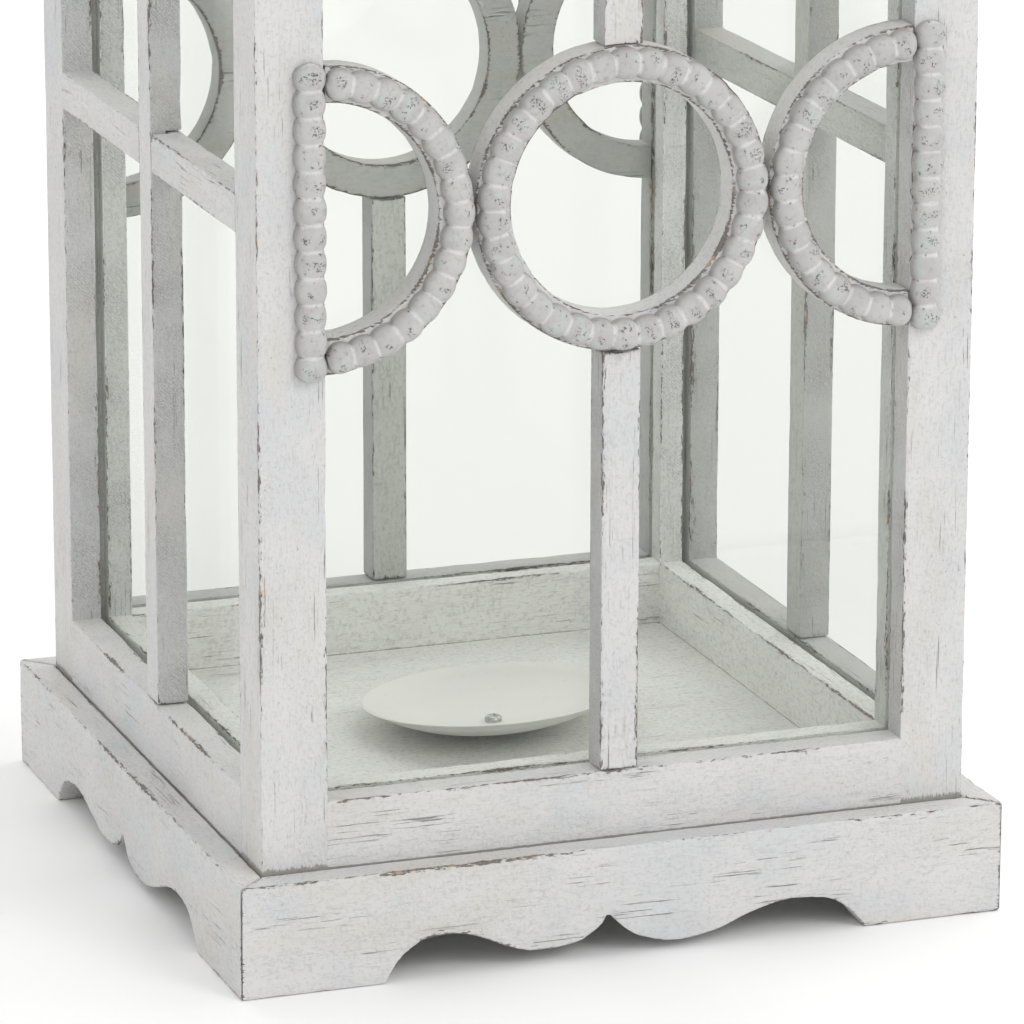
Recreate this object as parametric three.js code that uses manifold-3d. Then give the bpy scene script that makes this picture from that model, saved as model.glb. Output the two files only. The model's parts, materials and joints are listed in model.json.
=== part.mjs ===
// Tall square wooden candle lantern: glazed frame with beaded ring tracery on its
// front and back, cross bars on its sides, a scalloped plinth and a hinged hipped roof.
// Millimetres, +Z up. The origin is on the ground, in the middle of the plinth.
// The front faces -Y, and the roof hinges along the back.

import * as THREE from 'three';
import { mergeVertices } from 'three/addons/utils/BufferGeometryUtils.js';
import Module from 'manifold-3d';

const wasm = await Module();
wasm.setup();

// ---- driving sizes ----
const GAP = 0.3; // glue line between neighbouring pieces
const HALF = 135; // half the width over the posts
const POST = 25; // square posts and rails
const POST_FOOT = 18; // the posts stop short of the ground behind the plinth
const PLINTH_HALF = 146.5; // half the width over the plinth and the cornice
const PLINTH_TOP = 42;
const FLOOR_THICK = 5.7;
const WINDOW_LOW = 67;
const WINDOW_HIGH = 488.6;
const BODY_TOP = 513.6;

const FACE_DEPTH = 12.3; // wood in front of the glass
const GLASS_THICK = 2.2;
const GROOVE_WIDE = GLASS_THICK + 2 * GAP;
const GROOVE_DEEP = 5;
const PANE_IN_GROOVE = 4.5;

const BAR = 14.6; // width of the mullions
const CROSS_LOW = 270;
const CROSS_HIGH = 284.3;

const RING_Z = 277.4; // height of the ring centres
const RING_INNER = 41.6;
const RING_OUTER = 54.85;
const BEAD_RADIUS = 48.6; // from a ring's centre to the middle of its beads
const BEAD_HALF = 5.7; // half the width of a bead
const BEAD_PROUD = 5.6;
const BEAD_NECK = 0.78; // width between two beads, as a share of the full width
const RING_BEADS = 34;
const COLUMN_BEADS = 12;
const COLUMN_PITCH = 9.4;

const CORNICE_LOW = 514;
const CORNICE_HIGH = 532;
const EAVE_HALF = 138;
const NECK_HALF = 38;
const NECK_Z = 612;
const ROOF_WALL = 14.4; // roof boards, measured level
const COLLAR_HALF = 36;
const COLLAR_WALL = 8;
const COLLAR_TOP = 642;
const VENT_RADIUS = 9;
const CAP_HALF = 50;
const CAP_EDGE = 6;
const CAP_TOP = 670;
const CAP_FLAT = 14;

const EYE_Z = 685.4; // where the ring handle turns in its eye
const EYE_RADIUS = 5.4;
const EYE_WIRE = 2;
const HANDLE_RADIUS = 26;
const HANDLE_WIRE = 2.5;

const HINGE_X = 78; // each side of the middle
const HINGE_Y = 138.9;
const HINGE_Z = 509.6;
const HINGE_WIDE = 40;
const KNUCKLE = 3;
const KNUCKLE_BORE = 1.7;
const HINGE_PIN = 1.3;
const LEAF_THICK = 1;

const PLATE_RADIUS = 50;
const PLATE_TILT = THREE.MathUtils.degToRad(5.2);
const PLATE_TURN = THREE.MathUtils.degToRad(63);

const SIDES = ['front', 'right', 'back', 'left'];
const CORNERS = ['front_left', 'front_right', 'back_right', 'back_left'];

// ---- finishes ----
const material = (color, roughness, metalness) =>
  new THREE.MeshStandardMaterial({ color, roughness, metalness });
const whitewash = () => material('#dddcda', 0.75, 0);
const beadPaint = () => material('#cfcbcb', 0.7, 0);
const clearGlass = () => material('#dfe9e6', 0.05, 0);
const enamel = () => material('#d9d9d3', 0.45, 0.1);
const zinc = () => material('#a9aaa8', 0.35, 0.9);
const iron = () => material('#6f6d6a', 0.5, 0.8);

const lantern = new THREE.Group();

function addPiece(parent, name, geometry, finish) {
  const mesh = new THREE.Mesh(geometry, finish);
  mesh.name = name;
  parent.add(mesh);
  return mesh;
}

// One group for each side of the lantern. Its pieces are made as for the front.
function sideGroup(index) {
  const group = new THREE.Group();
  group.rotation.z = (index * Math.PI) / 2;
  lantern.add(group);
  return group;
}

// ---- geometry helpers ----
function toSolid(geometry) {
  const bare = geometry.clone();
  bare.deleteAttribute('normal');
  bare.deleteAttribute('uv');
  const merged = mergeVertices(bare, 1e-4);
  return new wasm.Manifold(
    new wasm.Mesh({
      numProp: 3,
      vertProperties: new Float32Array(merged.attributes.position.array),
      triVerts: new Uint32Array(merged.index.array),
    }),
  );
}

function toGeometry(solid) {
  const mesh = solid.getMesh();
  const geometry = new THREE.BufferGeometry();
  geometry.setAttribute('position', new THREE.BufferAttribute(mesh.vertProperties, 3));
  geometry.setIndex(new THREE.BufferAttribute(mesh.triVerts, 1));
  geometry.computeVertexNormals();
  return geometry;
}

// Moves every vertex through a function of its position.
function reshape(geometry, move) {
  const position = geometry.attributes.position;
  const point = new THREE.Vector3();
  for (let i = 0; i < position.count; i += 1) {
    point.fromBufferAttribute(position, i);
    move(point);
    position.setXYZ(i, point.x, point.y, point.z);
  }
  geometry.computeVertexNormals();
  return geometry;
}

function extrude(shape, depth, curveSegments = 12) {
  return new THREE.ExtrudeGeometry(shape, { depth, bevelEnabled: false, curveSegments });
}

// A board drawn in front view (x across, y up), with its back at backY.
function frontBoard(shape, thick, backY, curveSegments) {
  return extrude(shape, thick, curveSegments).rotateX(Math.PI / 2).translate(0, backY, 0);
}

// A bar along X whose section is drawn from the end (x for the depth, y up).
function barAlongX(shape, length) {
  const turn = new THREE.Matrix4().makeBasis(
    new THREE.Vector3(0, 1, 0),
    new THREE.Vector3(0, 0, 1),
    new THREE.Vector3(1, 0, 0),
  );
  return extrude(shape, length).applyMatrix4(turn).translate(-length / 2, 0, 0);
}

function outline(points) {
  return new THREE.Shape(points.map(([x, y]) => new THREE.Vector2(x, y)));
}

function box(low, high) {
  const size = high.map((value, i) => value - low[i]);
  const centre = high.map((value, i) => (value + low[i]) / 2);
  return new THREE.BoxGeometry(...size).translate(...centre);
}

// A turned piece about the Z axis, from [radius, height] pairs.
function turned(profile, segments) {
  const points = profile.map(([radius, height]) => new THREE.Vector2(radius, height));
  return new THREE.LatheGeometry(points, segments).rotateX(Math.PI / 2);
}

// A board that runs round the square, mitred at both ends. Each level gives the
// half-width at its outer edge, at its inner edge, and its height.
function mitredBoard(low, high) {
  return reshape(new THREE.BoxGeometry(2, 2, 2), (point) => {
    const level = point.z < 0 ? low : high;
    const half = point.y < 0 ? level.outer : level.inner;
    point.set(point.x * (half - GAP), -half, level.z);
  });
}

// ---- plinth ----
// Hand-sawn lower edges: [x, z] of the cusp, and of the lobe and the arch to each side.
const ARCH_END = 92.5;
const SCALLOPS = {
  front: { cusp: [-7.5, 16], lobes: [[-32, 5.5], [20, 3.5]], arches: [[-69, 15.9], [64, 14.1]] },
  right: { cusp: [2, 15], lobes: [[-25, 4.5], [27, 5]], arches: [[-67, 15], [68, 14.5]] },
  back: { cusp: [0, 15.5], lobes: [[-27, 4.5], [26, 5]], arches: [[-68, 15], [67, 14.8]] },
  left: { cusp: [-3.5, 14], lobes: [[-27, 5.5], [19, 3.5]], arches: [[-65, 13.5], [67, 14.6]] },
};

function plinthOutline({ cusp, lobes, arches }) {
  const [cuspX, cuspZ] = cusp;
  const [[lobeX, lobeZ], [lobe2X, lobe2Z]] = lobes;
  const [[archX, archZ], [arch2X, arch2Z]] = arches;
  const shape = new THREE.Shape();
  shape.moveTo(-PLINTH_HALF, 0);
  shape.lineTo(-ARCH_END, 0);
  shape.bezierCurveTo(-ARCH_END + 4, 9, -ARCH_END + 10, archZ, archX, archZ);
  shape.bezierCurveTo(archX + 14, archZ, lobeX - 16, lobeZ, lobeX, lobeZ);
  shape.bezierCurveTo(lobeX + 13, lobeZ, cuspX - 3.4, cuspZ - 6, cuspX - 1, cuspZ);
  shape.lineTo(cuspX + 0.6, cuspZ);
  shape.bezierCurveTo(cuspX + 6, cuspZ - 6.5, lobe2X - 15, lobe2Z, lobe2X, lobe2Z);
  shape.bezierCurveTo(lobe2X + 18, lobe2Z, arch2X - 16, arch2Z, arch2X, arch2Z);
  shape.bezierCurveTo(ARCH_END - 10, arch2Z, ARCH_END - 7, 9, ARCH_END, 0);
  shape.lineTo(PLINTH_HALF, 0);
  shape.lineTo(PLINTH_HALF, PLINTH_TOP);
  shape.lineTo(-PLINTH_HALF, PLINTH_TOP);
  return shape;
}

function plinthBoard(side) {
  const inner = -(HALF + GAP);
  const thick = PLINTH_HALF - HALF - GAP;
  const board = frontBoard(plinthOutline(SCALLOPS[side]), thick, inner, 7);
  return reshape(board, (point) => {
    if (Math.abs(point.x) > PLINTH_HALF - 0.01) {
      point.x = Math.sign(point.x) * (Math.abs(point.y) - GAP);
    }
  });
}

function floorPanel() {
  const edge = HALF - GAP;
  const notch = HALF - POST - GAP;
  const shape = outline([
    [-notch, -edge], [notch, -edge], [notch, -notch], [edge, -notch],
    [edge, notch], [notch, notch], [notch, edge], [-notch, edge],
    [-notch, notch], [-edge, notch], [-edge, -notch], [-notch, -notch],
  ]);
  const screwHole = new THREE.Path();
  screwHole.absarc(0, 0, 1.9, 0, 2 * Math.PI);
  shape.holes.push(screwHole);
  return extrude(shape, FLOOR_THICK, 8).translate(0, 0, PLINTH_TOP - FLOOR_THICK);
}

// ---- frame ----
// Distances behind the outer face: front of the groove, and back of the groove.
const GROOVE_FRONT = FACE_DEPTH;
const GROOVE_BACK = FACE_DEPTH + GROOVE_WIDE;

// Post with its outer corner at the origin, running inward along +X and +Y.
function postGeometry() {
  const bottom = POST - GROOVE_DEEP;
  const shape = outline([
    [0, 0], [POST, 0], [POST, GROOVE_FRONT], [bottom, GROOVE_FRONT],
    [bottom, GROOVE_BACK], [POST, GROOVE_BACK], [POST, POST],
    [GROOVE_BACK, POST], [GROOVE_BACK, bottom], [GROOVE_FRONT, bottom],
    [GROOVE_FRONT, POST], [0, POST],
  ]);
  return extrude(shape, BODY_TOP - POST_FOOT).translate(-HALF, -HALF, POST_FOOT);
}

// Rail between two posts, with the glass groove in the edge at grooveZ.
function railGeometry(plainZ, grooveZ) {
  const into = Math.sign(plainZ - grooveZ) * GROOVE_DEEP;
  const front = -HALF;
  const shape = outline([
    [front, plainZ], [front, grooveZ], [front + GROOVE_FRONT, grooveZ],
    [front + GROOVE_FRONT, grooveZ + into], [front + GROOVE_BACK, grooveZ + into],
    [front + GROOVE_BACK, grooveZ], [front + POST, grooveZ], [front + POST, plainZ],
  ]);
  return barAlongX(shape, 2 * (HALF - POST - GAP));
}

function paneGeometry() {
  const halfWide = HALF - POST + PANE_IN_GROOVE;
  const front = -HALF + GROOVE_FRONT + GAP;
  return box(
    [-halfWide, front, WINDOW_LOW - PANE_IN_GROOVE],
    [halfWide, front + GLASS_THICK, WINDOW_HIGH + PANE_IN_GROOVE],
  );
}

const FACE_BACK = -HALF + FACE_DEPTH;

// ---- tracery of the front and back ----
function ringPlate() {
  const shape = new THREE.Shape();
  shape.absarc(0, RING_Z, RING_OUTER, 0, 2 * Math.PI);
  const hole = new THREE.Path();
  hole.absarc(0, RING_Z, RING_INNER, 0, 2 * Math.PI);
  shape.holes.push(hole);
  return frontBoard(shape, FACE_DEPTH, FACE_BACK, 28);
}

// Half ring that springs from the post at the left (-1) or the right (1).
function halfRingPlate(hand) {
  const edge = HALF - POST - GAP;
  const inset = Math.asin(GAP / RING_INNER);
  const outerInset = Math.asin(GAP / RING_OUTER);
  const shape = new THREE.Shape();
  shape.absarc(-edge - GAP, RING_Z, RING_OUTER, -Math.PI / 2 + outerInset, Math.PI / 2 - outerInset);
  shape.absarc(-edge - GAP, RING_Z, RING_INNER, Math.PI / 2 - inset, -Math.PI / 2 + inset, true);
  const plate = frontBoard(shape, FACE_DEPTH, FACE_BACK, 22);
  return hand < 0 ? plate : plate.rotateZ(Math.PI).translate(0, 2 * FACE_BACK - FACE_DEPTH, 0);
}

// Mullion above (1) or below (-1) the ring, with a coped end that fits round it.
function ringMullion(direction) {
  const half = BAR / 2;
  const cope = RING_OUTER + GAP;
  const spread = Math.asin(half / cope);
  const farZ = direction < 0 ? WINDOW_LOW + GAP : WINDOW_HIGH - GAP;
  const middle = (direction * Math.PI) / 2;
  const shape = new THREE.Shape();
  shape.moveTo(-half, farZ);
  shape.lineTo(half, farZ);
  shape.absarc(0, RING_Z, cope, middle - direction * spread, middle + direction * spread, direction < 0);
  return frontBoard(shape, FACE_DEPTH, FACE_BACK, 6);
}

// Width of the beading at a phase along it, counted in beads from a neck.
function beadSwell(phase) {
  const across = phase - Math.floor(phase);
  return across < 0.01 || across > 0.99 ? BEAD_NECK : 1;
}

const BEADING_BACK = -HALF - GAP;

// Lays a beading section flat on the face: x stays, and what lies behind is pressed flat.
function pressFlat(point, swell) {
  point.z = (Math.max(point.z, 0) / BEAD_HALF) * BEAD_PROUD * swell;
}

// A closed ring of beads, lying in the XY plane with its flat back down.
function beadedRing() {
  const ring = new THREE.TorusGeometry(BEAD_RADIUS, BEAD_HALF, 6, RING_BEADS * 2);
  return reshape(ring, (point) => {
    const angle = Math.atan2(point.y, point.x);
    const phase = ((angle / (2 * Math.PI)) * RING_BEADS + RING_BEADS) % RING_BEADS;
    const swell = beadSwell(phase + 0.0001);
    const radius = BEAD_RADIUS + (Math.hypot(point.x, point.y) - BEAD_RADIUS) * swell;
    pressFlat(point, swell);
    point.x = radius * Math.cos(angle);
    point.y = radius * Math.sin(angle);
  });
}

// A straight column of beads along Y, lying flat side down.
function beadedColumn() {
  const length = COLUMN_BEADS * COLUMN_PITCH;
  const profile = [[0, -length / 2]];
  for (let i = 0; i < COLUMN_BEADS * 2 + 1; i += 1) {
    const radius = BEAD_HALF * (i % 2 ? 1 : BEAD_NECK);
    profile.push([radius, -length / 2 + (i * COLUMN_PITCH) / 2]);
  }
  profile.push([0, length / 2]);
  const column = new THREE.LatheGeometry(profile.map(([x, y]) => new THREE.Vector2(x, y)), 6);
  return reshape(column, (point) => pressFlat(point, 1));
}

// Stands flat beading up against the front, at a height.
function standUp(geometry, x) {
  return geometry.rotateX(Math.PI / 2).translate(x, BEADING_BACK, RING_Z);
}

// Half ring of beads that closes on a straight column down the post.
function halfBeading(hand) {
  const reach = HALF - POST;
  const overlap = 1.6;
  const side = -hand;
  const low = [side > 0 ? -overlap : -2 * BEAD_RADIUS, -2 * BEAD_RADIUS, -1];
  const high = [side > 0 ? 2 * BEAD_RADIUS : overlap, 2 * BEAD_RADIUS, 2 * BEAD_PROUD];
  const arc = toSolid(beadedRing()).intersect(toSolid(box(low, high)));
  const column = toSolid(beadedColumn().translate(hand * BEAD_HALF, 0, 0));
  return standUp(toGeometry(arc.add(column)), hand * reach);
}

// ---- cross bars of the left and right ----
const LAP = FACE_DEPTH / 2;

function sideMullion() {
  const back = -HALF + FACE_DEPTH;
  const lapY = -HALF + LAP + GAP / 2;
  const shape = outline([
    [-HALF, WINDOW_LOW + GAP], [back, WINDOW_LOW + GAP], [back, CROSS_LOW - GAP],
    [lapY, CROSS_LOW - GAP], [lapY, CROSS_HIGH + GAP], [back, CROSS_HIGH + GAP],
    [back, WINDOW_HIGH - GAP], [-HALF, WINDOW_HIGH - GAP],
  ]);
  return barAlongX(shape, BAR);
}

function sideCrossRail() {
  const back = -HALF + FACE_DEPTH;
  const lapY = -HALF + LAP + GAP * 1.5;
  const end = HALF - POST - GAP;
  const half = BAR / 2 + GAP;
  const shape = outline([
    [-end, -HALF], [-half, -HALF], [-half, lapY], [half, lapY],
    [half, -HALF], [end, -HALF], [end, back], [-end, back],
  ]);
  return extrude(shape, CROSS_HIGH - CROSS_LOW).translate(0, 0, CROSS_LOW);
}

// ---- candle plate ----
const PLATE_HEIGHT = 1.9; // the dished plate's middle, above the floor
const PLATE_METAL = 1.1;

// Spun saucer: a flat middle, a long rising curve, and a narrow flat lip.
function candlePlate() {
  const rise = [[2.3, 0], [12, 0], [30, 2.8], [42, 6.9], [47.3, 9.9], [PLATE_RADIUS, 11]];
  const under = rise.slice();
  const over = rise.map(([radius, height]) => [radius, height + PLATE_METAL]).reverse();
  return turned([...under, ...over, rise[0]], 32);
}

function plateScrew() {
  const top = PLATE_METAL + GAP;
  return turned([
    [0, -9], [1.4, -7.5], [1.4, top], [3.4, top], [3.4, top + 0.7],
    [2.7, top + 1.6], [1.2, top + 2], [0.9, top + 1.1], [0, top + 1],
  ], 14);
}

// ---- roof ----
function corniceBoard() {
  const inner = HALF - POST;
  return mitredBoard(
    { outer: PLINTH_HALF, inner, z: CORNICE_LOW },
    { outer: PLINTH_HALF, inner, z: CORNICE_HIGH },
  );
}

function roofBoard() {
  return mitredBoard(
    { outer: EAVE_HALF, inner: EAVE_HALF - ROOF_WALL, z: CORNICE_HIGH + GAP },
    { outer: NECK_HALF, inner: NECK_HALF - ROOF_WALL, z: NECK_Z },
  );
}

// Square chimney with a round vent through each wall.
function ventCollar() {
  const height = COLLAR_TOP - NECK_Z - GAP;
  const square = (half) => [[-half, -half], [half, -half], [half, half], [-half, half]];
  const shape = outline(square(COLLAR_HALF));
  shape.holes.push(outline(square(COLLAR_HALF - COLLAR_WALL)));
  const walls = toSolid(extrude(shape, height).translate(0, 0, NECK_Z + GAP));
  const bore = () => new THREE.CylinderGeometry(VENT_RADIUS, VENT_RADIUS, 4 * COLLAR_HALF, 20);
  const middle = NECK_Z + GAP + height / 2;
  const alongY = toSolid(bore().translate(0, 0, middle));
  const alongX = toSolid(bore().rotateZ(Math.PI / 2).translate(0, 0, middle));
  return toGeometry(walls.subtract(alongY).subtract(alongX));
}

function ventCap() {
  const low = COLLAR_TOP + GAP;
  const corner = Math.SQRT2;
  return turned([
    [0, low], [CAP_HALF * corner, low], [CAP_HALF * corner, low + CAP_EDGE],
    [CAP_FLAT * corner, CAP_TOP], [0, CAP_TOP],
  ], 4).rotateZ(Math.PI / 4);
}

function handleEye() {
  const foot = CAP_TOP + GAP;
  const loopFoot = EYE_Z - EYE_RADIUS;
  const stem = toSolid(turned([
    [0, foot], [11, foot], [11, foot + 2], [4.5, foot + 4], [3.4, loopFoot - 1.5],
    [3.4, loopFoot], [0, loopFoot],
  ], 12));
  const loop = new THREE.TorusGeometry(EYE_RADIUS, EYE_WIRE, 6, 16).rotateY(Math.PI / 2);
  return toGeometry(stem.add(toSolid(loop.translate(0, 0, EYE_Z))));
}

function ringHandle() {
  const ring = new THREE.TorusGeometry(HANDLE_RADIUS, HANDLE_WIRE, 8, 32);
  return ring.rotateX(Math.PI / 2).translate(0, 0, EYE_Z + HANDLE_RADIUS);
}

// ---- hinges ----
const KNUCKLE_WIDE = (HINGE_WIDE - 4 * GAP) / 3;

// Solid or bored round bar along X, centred on the hinge axis.
function barrel(fromX, toX, radius, bore) {
  const bar = (size, extra) => {
    const length = toX - fromX + extra;
    const cylinder = new THREE.CylinderGeometry(size, size, length, 16);
    return toSolid(cylinder.rotateZ(Math.PI / 2).translate((fromX + toX) / 2, HINGE_Y, HINGE_Z));
  };
  return bore ? bar(radius, 0).subtract(bar(bore, 2)) : bar(radius, 0);
}

// Leaf screwed to the back of the top rail. Its outer knuckles hold the pin.
function bodyLeaf() {
  const half = HINGE_WIDE / 2;
  const notch = KNUCKLE_WIDE / 2 + 2 * GAP;
  const low = WINDOW_HIGH + 2;
  const high = HINGE_Z + 1;
  const dip = HINGE_Z - KNUCKLE - 3 * GAP;
  const shape = outline([
    [-half, low], [half, low], [half, high], [notch, high],
    [notch, dip], [-notch, dip], [-notch, high], [-half, high],
  ]);
  const plateBack = HALF + 0.2;
  const plate = toSolid(frontBoard(shape, LEAF_THICK, plateBack + LEAF_THICK));
  const pin = barrel(-half + 1, half - 1, HINGE_PIN);
  const left = barrel(-half, -notch, KNUCKLE);
  const right = barrel(notch, half, KNUCKLE);
  return toGeometry(plate.add(left).add(right).add(pin));
}

// Leaf screwed under the back of the cornice. Its middle knuckle turns on the pin.
function roofLeaf() {
  const half = HINGE_WIDE / 2;
  const high = CORNICE_LOW - 0.1;
  const low = high - LEAF_THICK;
  const plate = toSolid(box([-half, HALF + 1.6, low], [half, PLINTH_HALF - 1, high]));
  const knuckleHalf = KNUCKLE_WIDE / 2;
  const knuckle = barrel(-knuckleHalf, knuckleHalf, KNUCKLE, KNUCKLE_BORE);
  const web = toSolid(box(
    [-knuckleHalf, HINGE_Y - 1.5, HINGE_Z + KNUCKLE_BORE + 0.4],
    [knuckleHalf, HINGE_Y + 1.5, low + 0.2],
  ));
  return toGeometry(plate.add(knuckle).add(web));
}

// ---- assembly ----
SIDES.forEach((side, index) => {
  const group = sideGroup(index);
  addPiece(group, `plinth_${side}`, plinthBoard(side), whitewash());
  addPiece(group, `post_${CORNERS[index]}`, postGeometry(), whitewash());
  addPiece(group, `bottom_rail_${side}`, railGeometry(PLINTH_TOP + GAP, WINDOW_LOW), whitewash());
  addPiece(group, `top_rail_${side}`, railGeometry(BODY_TOP, WINDOW_HIGH), whitewash());
  addPiece(group, `glass_${side}`, paneGeometry(), clearGlass());
  addPiece(group, `cornice_${side}`, corniceBoard(), whitewash());
  addPiece(group, `roof_board_${side}`, roofBoard(), whitewash());
  if (side === 'front' || side === 'back') {
    addPiece(group, `mullion_lower_${side}`, ringMullion(-1), whitewash());
    addPiece(group, `mullion_upper_${side}`, ringMullion(1), whitewash());
    addPiece(group, `ring_${side}`, ringPlate(), whitewash());
    addPiece(group, `ring_beading_${side}`, standUp(beadedRing(), 0), beadPaint());
    [['left', -1], ['right', 1]].forEach(([hand, sign]) => {
      addPiece(group, `half_ring_${side}_${hand}`, halfRingPlate(sign), whitewash());
      addPiece(group, `half_beading_${side}_${hand}`, halfBeading(sign), beadPaint());
    });
  } else {
    addPiece(group, `mullion_${side}`, sideMullion(), whitewash());
    addPiece(group, `cross_rail_${side}`, sideCrossRail(), whitewash());
  }
});

addPiece(lantern, 'floor_panel', floorPanel(), whitewash());

const plate = addPiece(lantern, 'candle_plate', candlePlate(), enamel());
plate.position.z = PLINTH_TOP + PLATE_HEIGHT;
const tiltAxis = new THREE.Vector3(Math.sin(PLATE_TURN), Math.cos(PLATE_TURN), 0);
plate.quaternion.setFromAxisAngle(tiltAxis, -PLATE_TILT);
const screw = addPiece(lantern, 'plate_screw', plateScrew(), zinc());
screw.position.z = PLINTH_TOP + PLATE_HEIGHT + GAP;

addPiece(lantern, 'vent_collar', ventCollar(), whitewash());
addPiece(lantern, 'vent_cap', ventCap(), whitewash());
addPiece(lantern, 'handle_eye', handleEye(), iron());
addPiece(lantern, 'ring_handle', ringHandle(), iron());

[['left', -1], ['right', 1]].forEach(([hand, sign]) => {
  const hinge = new THREE.Group();
  hinge.position.x = sign * HINGE_X;
  lantern.add(hinge);
  addPiece(hinge, `hinge_body_leaf_${hand}`, bodyLeaf(), iron());
  addPiece(hinge, `hinge_roof_leaf_${hand}`, roofLeaf(), iron());
});

export default lantern;
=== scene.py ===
"""Looks of the whitewashed candle lantern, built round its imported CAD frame. Metres, +Z up."""

import json
import math

import bmesh
import bpy
import numpy as np
from mathutils import Matrix, Vector, kdtree, noise


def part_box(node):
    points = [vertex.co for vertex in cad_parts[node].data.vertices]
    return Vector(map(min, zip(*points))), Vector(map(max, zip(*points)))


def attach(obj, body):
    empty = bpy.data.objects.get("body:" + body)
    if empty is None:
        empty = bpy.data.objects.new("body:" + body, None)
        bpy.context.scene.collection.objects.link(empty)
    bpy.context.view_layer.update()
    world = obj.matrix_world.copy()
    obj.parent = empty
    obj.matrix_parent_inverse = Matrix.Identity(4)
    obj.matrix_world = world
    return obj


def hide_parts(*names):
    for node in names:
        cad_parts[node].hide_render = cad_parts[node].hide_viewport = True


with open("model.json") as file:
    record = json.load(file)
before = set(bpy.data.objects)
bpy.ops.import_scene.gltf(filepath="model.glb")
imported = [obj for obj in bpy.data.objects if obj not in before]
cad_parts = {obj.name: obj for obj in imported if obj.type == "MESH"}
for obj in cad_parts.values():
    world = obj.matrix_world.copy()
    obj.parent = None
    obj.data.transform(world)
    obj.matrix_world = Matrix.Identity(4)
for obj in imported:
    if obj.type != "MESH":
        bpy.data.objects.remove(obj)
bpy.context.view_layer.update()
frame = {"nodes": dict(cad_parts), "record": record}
nodes = frame["nodes"]
body_of = {n: b for b, names in frame["record"]["behaviour"]["bodies"].items() for n in names}
MM = 0.001
SIDES = ("front", "right", "back", "left")


# ---- camera, light and floor ----
CAMERA_PLACE = Vector((-0.7531, -2.1151, 0.7577))
CAMERA_YAW = math.radians(19.776)
CAMERA_PITCH = math.radians(15.678)
CAMERA_ROLL = math.radians(0.129)
CAMERA_LENS = 217.33
CAMERA_SENSOR = 36
CAMERA_REACH = 50
SKY_STRENGTH = 0.9
LIT_MIDDLE = (0, 0, 0.3)
LAMPS = {
    "key": ((1.3, -2.7, 2.3), 1.6, 28, (1.0, 0.995, 0.985)),
    "back": ((-0.4, 2.9, 2.3), 3.0, 22, (0.99, 1.0, 0.98)),
    "side": ((2.9, 0.6, 2.2), 3.0, 29, (1.0, 1.0, 0.98)),
}
GLOWS = ((0.16, 0.048), (0.30, 0.115), (0.44, 0.13))
GLOW_SIZE = 0.04
FLOOR_SIZE = 60


def add_camera():
    data = bpy.data.cameras.new("camera")
    data.lens = CAMERA_LENS
    data.sensor_width = CAMERA_SENSOR
    data.clip_end = CAMERA_REACH
    camera = bpy.data.objects.new("camera", data)
    turn = (
        Matrix.Rotation(-CAMERA_YAW, 4, "Z")
        @ Matrix.Rotation(math.pi / 2 - CAMERA_PITCH, 4, "X")
        @ Matrix.Rotation(CAMERA_ROLL, 4, "Z")
    )
    camera.matrix_world = Matrix.Translation(CAMERA_PLACE) @ turn
    bpy.context.scene.collection.objects.link(camera)
    bpy.context.scene.camera = camera


def add_lamp(name, place, size, power, colour):
    """A round soft lamp that faces the middle of the lantern."""
    data = bpy.data.lights.new(name, "AREA")
    data.shape = "DISK"
    data.size = size
    data.energy = power
    data.color = colour
    lamp = bpy.data.objects.new(name, data)
    lamp.location = place
    towards = Vector(LIT_MIDDLE) - Vector(place)
    lamp.rotation_euler = towards.to_track_quat("-Z", "Y").to_euler()
    bpy.context.scene.collection.objects.link(lamp)


def add_glow(height, power):
    """A soft lamp inside the body, so that it's as bright behind the glass as outside."""
    data = bpy.data.lights.new("glow", "POINT")
    data.energy = power
    data.shadow_soft_size = GLOW_SIZE
    data.specular_factor = 0
    lamp = bpy.data.objects.new("glow", data)
    lamp.location = (0, 0, height)
    bpy.context.scene.collection.objects.link(lamp)


def add_studio():
    world = bpy.data.worlds.new("studio")
    world.use_nodes = True
    sky = world.node_tree.nodes["Background"]
    sky.inputs["Color"].default_value = (1.0, 1.0, 1.0, 1)
    sky.inputs["Strength"].default_value = SKY_STRENGTH
    bpy.context.scene.world = world
    bpy.context.scene.view_settings.view_transform = "Standard"
    for name, (place, size, power, colour) in LAMPS.items():
        add_lamp(name, place, size, power, colour)
    for height, power in GLOWS:
        add_glow(height, power)
    bpy.ops.mesh.primitive_plane_add(size=FLOOR_SIZE)
    floor = bpy.context.object
    floor.name = "floor"
    floor.data.materials.append(floor_material())


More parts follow.
